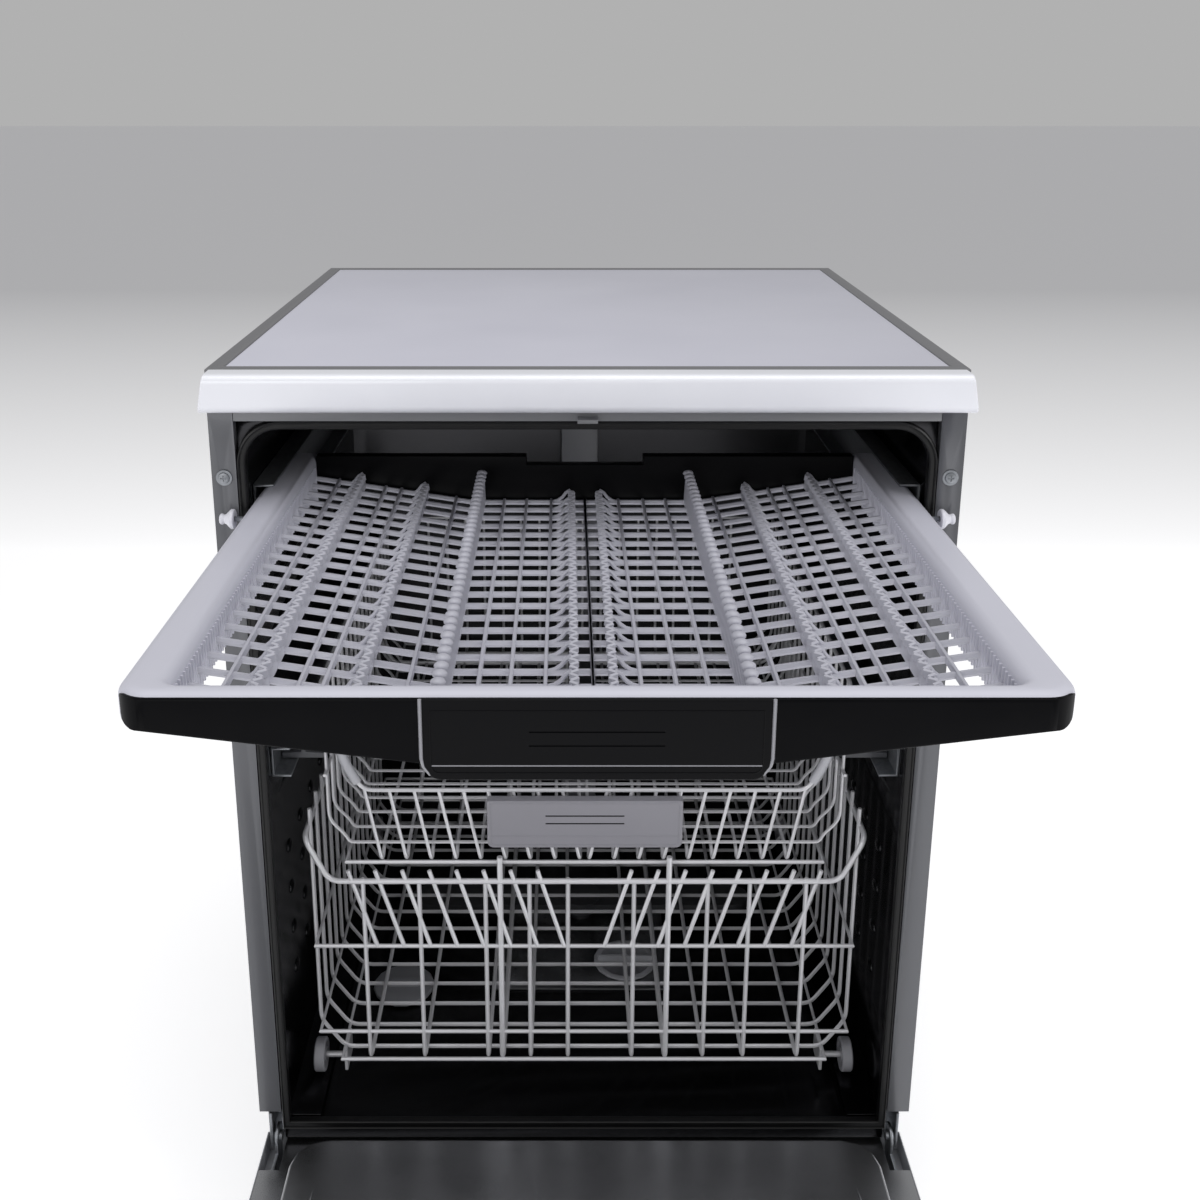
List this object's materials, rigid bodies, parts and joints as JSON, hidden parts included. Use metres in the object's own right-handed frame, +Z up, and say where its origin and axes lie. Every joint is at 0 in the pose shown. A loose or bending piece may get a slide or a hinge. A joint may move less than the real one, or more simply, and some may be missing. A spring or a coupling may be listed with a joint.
{
  "type": "dishwasher",
  "caption": "Freestanding front-loading dishwasher with a drop-down door, a pull-out cutlery tray with a lattice floor, an upper and a lower wire basket, and spray arms.",
  "frame": {"origin": "on the floor, in the middle of the object's box with the door open: halfway across the cabinet, and halfway between the tip of the open door and the back of the cabinet", "axes": "+X to the right as seen from the front, +Y from the open door to the back of the cabinet, +Z up"},
  "size_m": [0.602, 1.2684, 0.85],
  "materials": {
    "worktop_plastic": "fine grained",
    "worktop_laminate": "satin laminate with a faint grain",
    "silver_trim": "silver, satin gloss",
    "cabinet_paint": "satin enamel",
    "zinc_steel": "zinc plated",
    "stainless": "bright rolled",
    "door_steel": "brushed",
    "gasket_rubber": "moulded",
    "base_plastic": "moulded",
    "foot_plastic": "moulded",
    "cast_weight": "raw casting",
    "black_plastic": "satin gloss",
    "tray_plastic": "satin, lightly speckled",
    "pale_plastic": "moulded",
    "grey_plastic": "moulded",
    "roller_plastic": "moulded",
    "basket_wire": "nylon coated wire"
  },
  "bodies": {
    "cabinet": {"worktop_frame": "worktop_plastic", "worktop_panel": "worktop_laminate", "worktop_front_trim": "silver_trim", "flange_screw_right": "zinc_steel", "flange_screw_left": "zinc_steel", "side_panel_right": "cabinet_paint", "side_panel_left": "cabinet_paint", "back_panel": "zinc_steel", "front_rail": "cabinet_paint", "base_pan": "base_plastic", "kickplate": "cabinet_paint", "foot_front_right": "foot_plastic", "foot_front_left": "foot_plastic", "foot_rear_right": "foot_plastic", "foot_rear_left": "foot_plastic", "counterweight": "cast_weight", "tub": "stainless", "door_gasket": "gasket_rubber", "sump": "base_plastic", "filter_plate": "stainless", "circulation_pump": "base_plastic", "drain_pump": "grey_plastic", "softener_tank": "pale_plastic", "spray_pipe": "grey_plastic", "tray_rail_right": "zinc_steel", "tray_rail_left": "zinc_steel", "upper_rail_right": "zinc_steel", "upper_rail_left": "zinc_steel", "hinge_bracket_right": "zinc_steel", "hinge_bracket_left": "zinc_steel"},
    "door": {"door_inner_panel": "stainless", "door_outer_panel": "door_steel", "control_panel": "black_plastic", "door_latch": "zinc_steel", "hinge_arm_right": "zinc_steel", "hinge_arm_left": "zinc_steel", "detergent_dispenser": "pale_plastic"},
    "detergent_lid": {"detergent_lid": "grey_plastic"},
    "rinse_aid_cap": {"rinse_aid_cap": "grey_plastic"},
    "power_button": {"power_button": "silver_trim"},
    "start_button": {"start_button": "silver_trim"},
    "cutlery_tray": {"tray_frame": "tray_plastic", "tray_front": "black_plastic", "tray_handle": "black_plastic", "tray_grid": "tray_plastic", "tray_rear_wall": "black_plastic"},
    "tray_roller_right": {"tray_roller_right": "roller_plastic"},
    "tray_roller_left": {"tray_roller_left": "roller_plastic"},
    "upper_basket": {"upper_basket": "basket_wire", "upper_basket_handle": "grey_plastic", "upper_feed_duct": "black_plastic"},
    "upper_spray_arm": {"upper_spray_arm": "black_plastic"},
    "lower_basket": {"lower_basket": "basket_wire"},
    "basket_wheel_front_right": {"basket_wheel_front_right": "grey_plastic"},
    "basket_wheel_front_left": {"basket_wheel_front_left": "grey_plastic"},
    "basket_wheel_rear_right": {"basket_wheel_rear_right": "grey_plastic"},
    "basket_wheel_rear_left": {"basket_wheel_rear_left": "grey_plastic"},
    "lower_spray_arm": {"lower_spray_arm": "grey_plastic"},
    "filter_cylinder": {"filter_cylinder": "pale_plastic"},
    "salt_cap": {"salt_cap": "grey_plastic"}
  },
  "joints": [
    {"name": "door_hinge", "type": "hinge", "parent": "cabinet", "child": "door", "pos_m": [0, 0.06415, 0.118], "axis": [1, 0, 0], "range_deg": [-90, 0]},
    {"name": "tray_slide", "type": "slide", "parent": "cabinet", "child": "cutlery_tray", "axis": [0, -1, 0], "range_m": [-0.38, 0]},
    {"name": "upper_basket_slide", "type": "slide", "parent": "cabinet", "child": "upper_basket", "axis": [0, -1, 0], "range_m": [0, 0.45]},
    {"name": "lower_basket_slide", "type": "slide", "parent": "cabinet", "child": "lower_basket", "axis": [0, -1, 0], "range_m": [0, 0.48]},
    {"name": "upper_spray_arm_spin", "type": "hinge", "parent": "upper_basket", "child": "upper_spray_arm", "pos_m": [0, 0.34615, 0.386], "axis": [0, 0, 1], "continuous": true},
    {"name": "lower_spray_arm_spin", "type": "hinge", "parent": "cabinet", "child": "lower_spray_arm", "pos_m": [0, 0.38615, 0.15], "axis": [0, 0, 1], "continuous": true},
    {"name": "filter_turn", "type": "hinge", "parent": "cabinet", "child": "filter_cylinder", "pos_m": [0.048, 0.29815, 0.1], "axis": [0, 0, 1], "range_deg": [0, 90]},
    {"name": "salt_cap_turn", "type": "hinge", "parent": "cabinet", "child": "salt_cap", "pos_m": [-0.19, 0.25615, 0.131], "axis": [0, 0, 1], "range_deg": [0, 270]},
    {"name": "detergent_lid_slide", "type": "slide", "parent": "door", "child": "detergent_lid", "axis": [1, 0, 0], "range_m": [0, 0.082]},
    {"name": "rinse_aid_cap_turn", "type": "hinge", "parent": "door", "child": "rinse_aid_cap", "pos_m": [-0.07, -0.30635, 0.137], "axis": [0, 0, 1], "range_deg": [0, 90]},
    {"name": "power_button_press", "type": "slide", "parent": "door", "child": "power_button", "axis": [0, 0, 1], "range_m": [0, 0.0012], "stiffness_N_per_m": 300},
    {"name": "start_button_press", "type": "slide", "parent": "door", "child": "start_button", "axis": [0, 0, 1], "range_m": [0, 0.0012], "stiffness_N_per_m": 300},
    {"name": "tray_roller_right_spin", "type": "hinge", "parent": "cabinet", "child": "tray_roller_right", "pos_m": [0.2865, 0.04515, 0.731], "axis": [1, 0, 0], "continuous": true},
    {"name": "tray_roller_left_spin", "type": "hinge", "parent": "cabinet", "child": "tray_roller_left", "pos_m": [-0.2865, 0.04515, 0.731], "axis": [1, 0, 0], "continuous": true},
    {"name": "wheel_front_right_spin", "type": "hinge", "parent": "lower_basket", "child": "basket_wheel_front_right", "pos_m": [0.254, 0.12615, 0.1563], "axis": [1, 0, 0], "continuous": true},
    {"name": "wheel_front_left_spin", "type": "hinge", "parent": "lower_basket", "child": "basket_wheel_front_left", "pos_m": [-0.254, 0.12615, 0.1563], "axis": [1, 0, 0], "continuous": true},
    {"name": "wheel_rear_right_spin", "type": "hinge", "parent": "lower_basket", "child": "basket_wheel_rear_right", "pos_m": [0.254, 0.52615, 0.1563], "axis": [1, 0, 0], "continuous": true},
    {"name": "wheel_rear_left_spin", "type": "hinge", "parent": "lower_basket", "child": "basket_wheel_rear_left", "pos_m": [-0.254, 0.52615, 0.1563], "axis": [1, 0, 0], "continuous": true}
  ],
  "couplings": [
    {"joint": "tray_slide", "follows": "door_hinge", "m_per_rad": 0.24191},
    {"joint": "wheel_front_right_spin", "follows": "lower_basket_slide", "rad_per_m": 62.5},
    {"joint": "wheel_front_left_spin", "follows": "lower_basket_slide", "rad_per_m": 62.5},
    {"joint": "wheel_rear_right_spin", "follows": "lower_basket_slide", "rad_per_m": 62.5},
    {"joint": "wheel_rear_left_spin", "follows": "lower_basket_slide", "rad_per_m": 62.5}
  ]
}
